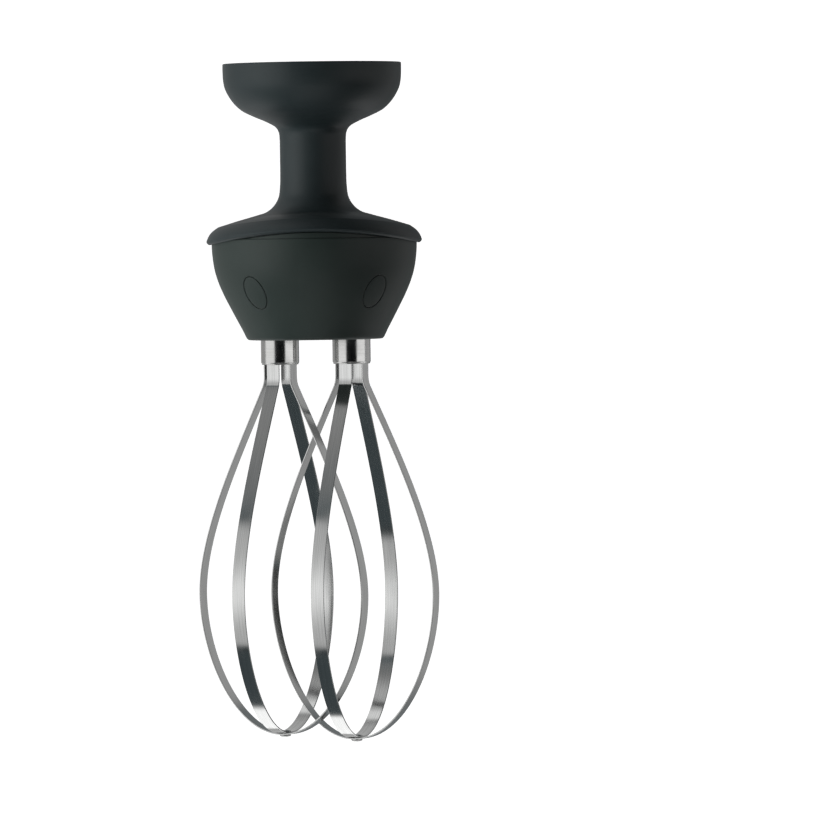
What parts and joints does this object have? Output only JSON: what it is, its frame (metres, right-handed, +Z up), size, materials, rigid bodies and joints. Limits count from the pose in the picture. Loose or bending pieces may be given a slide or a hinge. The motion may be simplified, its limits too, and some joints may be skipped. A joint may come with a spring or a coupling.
{
  "type": "twin whisk mixer attachment",
  "caption": "Hand-held mixer attachment: plastic coupling cup, neck and round gearbox housing that drives a pair of meshing, counter-rotating balloon whisks of flat steel bands.",
  "frame": {"origin": "centre of the coupling cup's top rim plane, where the motor unit seats", "axes": "+Z up along the input shaft towards the motor unit, whisks hang down -Z, the two whisk spindles lie apart along X, -Y is the front"},
  "size_m": [0.0943, 0.0844, 0.2664],
  "materials": {
    "charcoal_plastic": "fine-textured moulded charcoal plastic, satin",
    "inner_plastic": "glass-filled moulding, dull",
    "nylon": "moulded natural nylon, semi-matt",
    "seal_rubber": "matt",
    "satin_steel": "satin rolled stainless strip",
    "machined_steel": "turned and ground",
    "bronze": "sintered bronze, oiled"
  },
  "bodies": {
    "housing": {"upper_housing": "charcoal_plastic", "lower_housing": "charcoal_plastic", "housing_gasket": "seal_rubber", "coupling_ring": "machined_steel", "shaft_seal": "seal_rubber", "upper_bearing": "machined_steel", "lower_bearing": "machined_steel", "bearing_circlip": "machined_steel", "gear_plate": "inner_plastic", "countershaft_pin": "machined_steel", "gear_plate_screw_1": "machined_steel", "gear_plate_screw_2": "machined_steel", "gear_plate_screw_3": "machined_steel", "gear_plate_screw_4": "machined_steel", "housing_screw_front": "machined_steel", "housing_screw_rear": "machined_steel", "left_plate_bush": "bronze", "left_spindle_bush": "bronze", "left_spindle_seal": "seal_rubber", "right_plate_bush": "bronze", "right_spindle_bush": "bronze", "right_spindle_seal": "seal_rubber"},
    "drive_line": {"drive_coupling": "nylon", "drive_shaft": "machined_steel", "drive_pinion": "machined_steel"},
    "countershaft": {"reduction_wheel": "nylon", "reduction_pinion": "machined_steel"},
    "left_spindle_set": {"left_spindle": "machined_steel", "left_spindle_gear": "nylon", "left_spindle_clip": "machined_steel"},
    "left_whisk": {"left_ferrule": "satin_steel", "left_whisk_stem": "satin_steel", "left_outer_band": "satin_steel", "left_inner_band": "satin_steel", "left_rivet": "satin_steel"},
    "left_release": {"left_release_button": "charcoal_plastic", "left_latch_plate": "machined_steel", "left_release_spring": "machined_steel"},
    "right_spindle_set": {"right_spindle": "machined_steel", "right_spindle_gear": "nylon", "right_spindle_clip": "machined_steel"},
    "right_whisk": {"right_ferrule": "satin_steel", "right_whisk_stem": "satin_steel", "right_outer_band": "satin_steel", "right_inner_band": "satin_steel", "right_rivet": "satin_steel"},
    "right_release": {"right_release_button": "charcoal_plastic", "right_latch_plate": "machined_steel", "right_release_spring": "machined_steel"}
  },
  "joints": [
    {"name": "left_whisk_spin", "type": "hinge", "parent": "housing", "child": "left_spindle_set", "pos_m": [-0.014, 0, -0.09], "axis": [0, 0, 1], "continuous": true},
    {"name": "right_whisk_spin", "type": "hinge", "parent": "housing", "child": "right_spindle_set", "pos_m": [0.014, 0, -0.09], "axis": [0, 0, 1], "continuous": true},
    {"name": "countershaft_spin", "type": "hinge", "parent": "housing", "child": "countershaft", "pos_m": [-0.00429, 0.01748, -0.08], "axis": [0, 0, 1], "continuous": true},
    {"name": "drive_spin", "type": "hinge", "parent": "housing", "child": "drive_line", "pos_m": [0, 0, -0.04], "axis": [0, 0, 1], "continuous": true},
    {"name": "left_whisk_pull", "type": "slide", "parent": "left_spindle_set", "child": "left_whisk", "axis": [0, 0, -1], "range_m": [0, 0.004]},
    {"name": "right_whisk_pull", "type": "slide", "parent": "right_spindle_set", "child": "right_whisk", "axis": [0, 0, -1], "range_m": [0, 0.004]},
    {"name": "left_release_press", "type": "slide", "parent": "housing", "child": "left_release", "axis": [0.6494, 0.7604, 0], "range_m": [0, 0.002], "stiffness_N_per_m": 900, "springref_m": -0.0015, "deforming": ["left_release_spring"]},
    {"name": "right_release_press", "type": "slide", "parent": "housing", "child": "right_release", "axis": [-0.6494, 0.7604, 0], "range_m": [0, 0.002], "stiffness_N_per_m": 900, "springref_m": -0.0015, "deforming": ["right_release_spring"]}
  ],
  "couplings": [
    {"joint": "right_whisk_spin", "follows": "left_whisk_spin", "ratio": -1},
    {"joint": "countershaft_spin", "follows": "left_whisk_spin", "ratio": -2.3333},
    {"joint": "drive_spin", "follows": "left_whisk_spin", "ratio": 6.4167}
  ]
}
